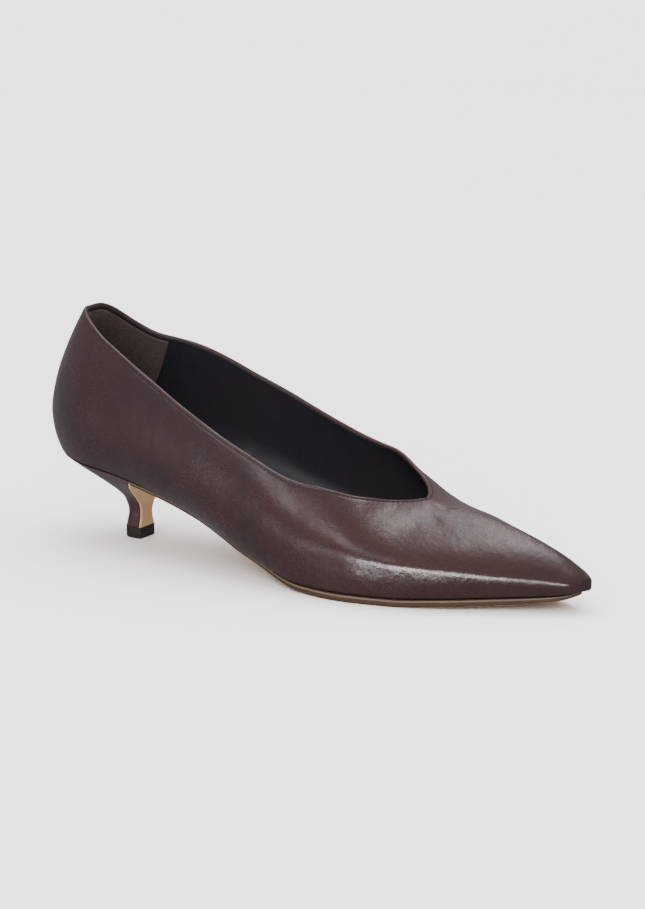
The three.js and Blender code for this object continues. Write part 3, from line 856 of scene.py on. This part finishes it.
def collar_line():
    """Places on the leather at the stitches' distance below the topline, from point to point."""
    forwards = np.roll(edge_points, -1, axis=0) - np.roll(edge_points, 1, axis=0)
    normals = skin_normals[edge_numbers]
    out = np.cross(normals, forwards)
    out /= np.linalg.norm(out, axis=1, keepdims=True)
    centre_of_opening = edge_points.mean(axis=0)
    if ((edge_points - centre_of_opening) * out).sum() < 0:
        out = -out
    first = np.cross(normals[0], edge_points[1] - edge_points[0])
    last = np.cross(normals[0], edge_points[0] - edge_points[-1])
    first, last = (v / np.linalg.norm(v) for v in (first, last))
    if first @ out[1] < 0:
        first = -first
    if last @ out[-1] < 0:
        last = -last
    path = []
    for t in np.linspace(0, 1, 9):
        between = last + (first - last) * t
        path.append(edge_points[0] + between / np.linalg.norm(between) * STITCH_FROM_EDGE)
    path += list(edge_points[1:] + out[1:] * STITCH_FROM_EDGE)
    return np.array(path + path[:1])


path = collar_line()
run = np.concatenate([[0], np.cumsum(np.linalg.norm(np.diff(path, axis=0), axis=1))])
count = int(run[-1] / PITCH)
stitches = Sheets()
for k in range(count):
    begin = k * run[-1] / count
    spots = []
    for t in np.linspace(0, 1, STITCH_RINGS):
        along = begin + t * STITCH
        point = Vector([np.interp(along, run, path[:, axis]) for axis in range(3)])
        hit, normal, _, _ = tree.find_nearest(point)
        sink = THREAD * (1 - 2.1 * (1 - (2 * t - 1) ** 4)) * 0.35
        full = math.sqrt(max(0, 1 - (2 * t - 1) ** 6))
        spots.append((np.array(hit - normal * sink), np.array(normal), full))
    numbers = []
    for j, (spot, normal, full) in enumerate(spots):
        ahead = spots[min(j + 1, STITCH_RINGS - 1)][0] - spots[max(j - 1, 0)][0]
        ahead /= np.linalg.norm(ahead)
        beside = np.cross(normal, ahead)
        size = THREAD * max(full, 0.08)
        ring = []
        for a in np.linspace(0, 2 * math.pi, 8, endpoint=False):
            offset = beside * math.cos(a) + normal * math.sin(a)
            ring.append(len(stitches.points))
            stitches.points.append(spot + offset * size)
        numbers.append(ring)
    stitches.tube(numbers)
    stitches.face(numbers[0])
    stitches.face(numbers[-1][::-1])
make("collar_stitches", stitches.array(), stitches.faces, [thread.material])


# Floor, light and camera
def plane(name, size, z, material):
    """A level square about the origin."""
    mesh = bpy.data.meshes.new(name)
    half = size / 2
    corners = [(-half, -half, z), (half, -half, z), (half, half, z), (-half, half, z)]
    mesh.from_pydata(corners, [], [(0, 1, 2, 3)])
    mesh.materials.append(material)
    made = bpy.data.objects.new(name, mesh)
    bpy.context.scene.collection.objects.link(made)
    return made


pale = Shader("pale_floor", (0.80, 0.79, 0.79), 0.7, 0.2)
drift = pale.span(pale.noise(3, 2), 0.35, 0.65)
tone = pale.mix((0.80, 0.792, 0.790), (0.79, 0.781, 0.779), drift)
pale.join(tone, pale.surface.inputs["Base Color"])
floor = plane("floor", 12, 0, pale.material)
floor.visible_glossy = False

WARM_WHITE = (1.0, 0.985, 0.98)
world = bpy.data.worlds.new("studio")
bpy.context.scene.world = world
world.use_nodes = True
dome = world.node_tree.nodes["Background"].inputs
dome["Color"].default_value = (*WARM_WHITE, 1)
dome["Strength"].default_value = 0.42


def around(azimuth, elevation, distance):
    """A place seen from the origin at two angles in degrees and a distance."""
    a, e = math.radians(azimuth), math.radians(elevation)
    level = distance * math.cos(e)
    return (level * math.cos(a), level * math.sin(a), distance * math.sin(e))


def add_light(name, kind, place_at, energy, highlight):
    """A light that looks at the shoe and gives either highlights alone or no highlights."""
    light = bpy.data.lights.new(name, kind)
    light.energy = energy
    light.color = WARM_WHITE
    made = bpy.data.objects.new(name, light)
    made.location = place_at
    towards_shoe = Vector((0, 0, 0.03)) - Vector(place_at)
    made.rotation_euler = towards_shoe.to_track_quat("-Z", "Y").to_euler()
    made.visible_diffuse = not highlight
    made.visible_glossy = highlight
    bpy.context.scene.collection.objects.link(made)
    return light


def soft_sun(name, azimuth, elevation, energy, degrees, highlight):
    """A sun as wide as the given angle."""
    light = add_light(name, "SUN", around(azimuth, elevation, 3), energy, highlight)
    light.angle = math.radians(degrees)


def softbox(name, azimuth, elevation, size, watts):
    """A rectangle that shows as a highlight only."""
    light = add_light(name, "AREA", around(azimuth, elevation, 2.1), watts, True)
    light.shape = "RECTANGLE"
    light.size, light.size_y = size


# Wide soft light from above and behind, and some from the front
soft_sun("soft_back_left", 150, 62, 3.6, 70, False)
soft_sun("soft_back_right", 60, 68, 3.6, 70, False)
soft_sun("soft_top", -60, 75, 3.2, 100, False)
soft_sun("soft_front", -75, 24, 3.8, 60, False)
# Highlights: a strip overhead on the far side, a low one and a faint one in front
soft_sun("strip_low", 118, 50, 0.20, 14, True)
soft_sun("strip_middle", 114, 62, 0.31, 14, True)
soft_sun("strip_high", 98, 74, 0.53, 14, True)
soft_sun("strip_top", 75, 82, 0.25, 12, True)
softbox("front_low", -79, -7, (1.6, 0.62), 165)
softbox("front_low_end", -112, -5, (0.8, 0.35), 6)
softbox("front_high", -108, 38, (0.8, 0.6), 8)

camera = bpy.data.objects.new("camera", bpy.data.cameras.new("camera"))
camera.location = (0.86765, -1.32919, 0.44586)
camera.rotation_euler = [math.radians(v) for v in (75.9345, 0.2074, 32.9583)]
camera.data.lens = 156
camera.data.sensor_width = 36
camera.data.clip_start = 0.05
camera.data.clip_end = 50
bpy.context.scene.collection.objects.link(camera)
bpy.context.scene.camera = camera
